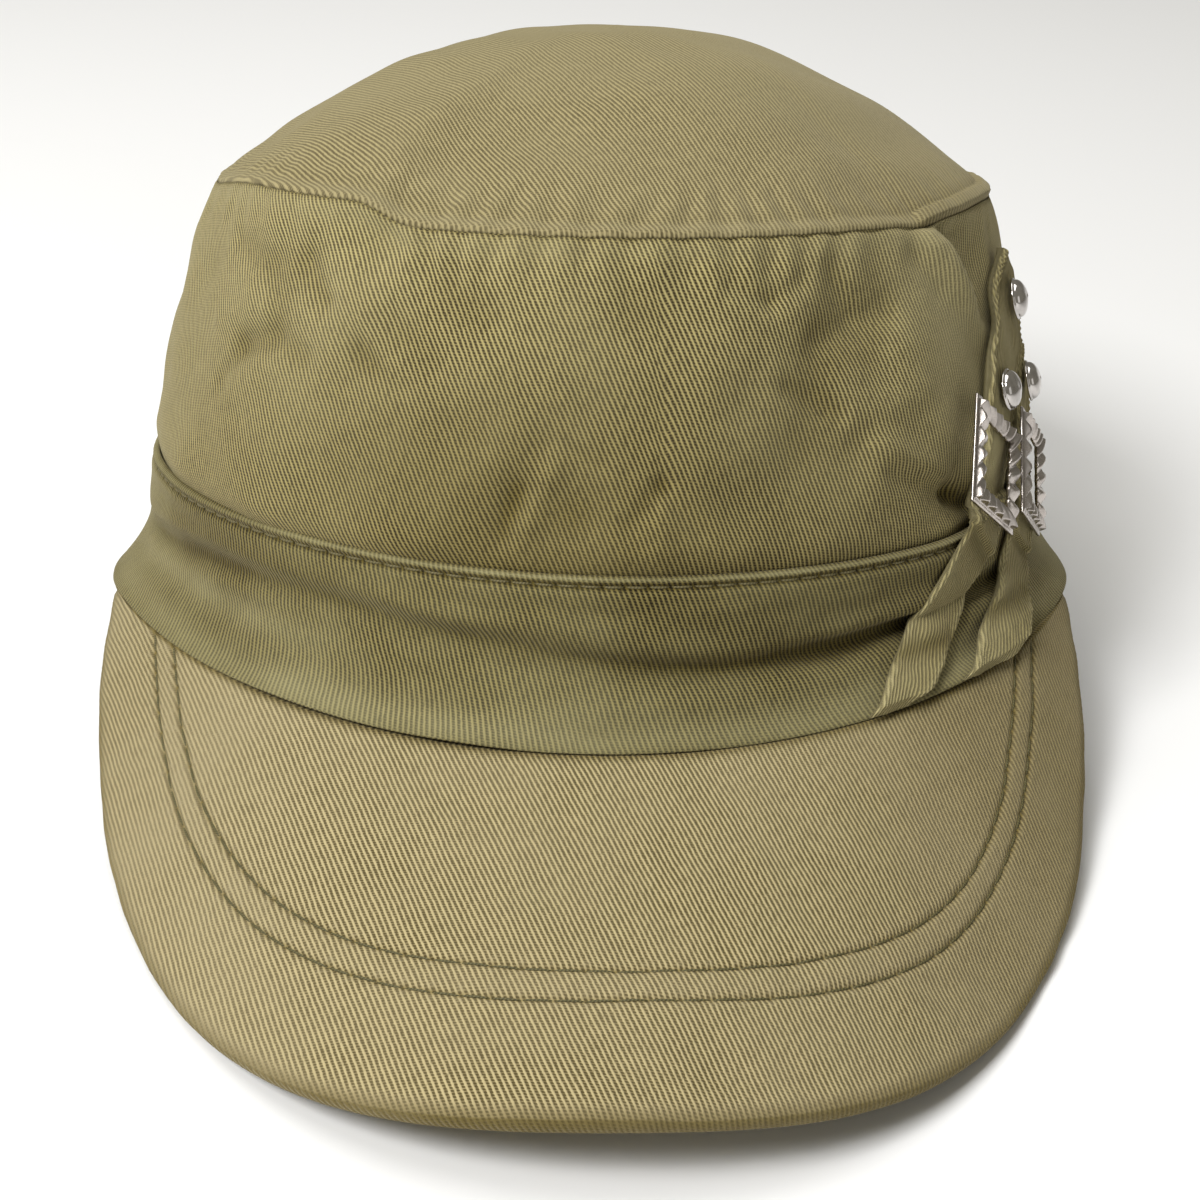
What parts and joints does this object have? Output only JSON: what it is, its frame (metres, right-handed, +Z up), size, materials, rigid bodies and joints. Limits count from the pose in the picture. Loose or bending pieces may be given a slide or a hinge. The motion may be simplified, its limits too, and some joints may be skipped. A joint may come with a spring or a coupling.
{
  "type": "army cap",
  "caption": "Soft army cap with a low domed top, upright side wall, narrow band, downturned peak and slanting straps with rope-edged buckles on one side.",
  "frame": {"origin": "middle of the bounding box's lower face, on the surface that the cap rests on", "axes": "+X to the wearer's left, +Y from the peak to the back of the head, +Z up from the surface; the cap leans back 11 degrees, as it rests on the peak's two sides and on the back of its band"},
  "size_m": [0.1814, 0.2584, 0.1116],
  "materials": {
    "crown_twill": "washed cotton twill, matt",
    "band_twill": "washed cotton twill, matt, a little greener",
    "peak_twill": "washed cotton twill over a stiff board, matt",
    "strap_twill": "folded cotton twill, matt",
    "trim_metal": "polished nickel plate"
  },
  "bodies": {
    "root": {"peak": "peak_twill", "band": "band_twill", "crown_side": "crown_twill", "crown_top": "crown_twill", "strap_front": "strap_twill", "strap_back": "strap_twill", "buckle_front": "trim_metal", "buckle_back": "trim_metal", "stud_front_lower": "trim_metal", "stud_front_upper": "trim_metal", "stud_back_lower": "trim_metal"}
  },
  "joints": []
}
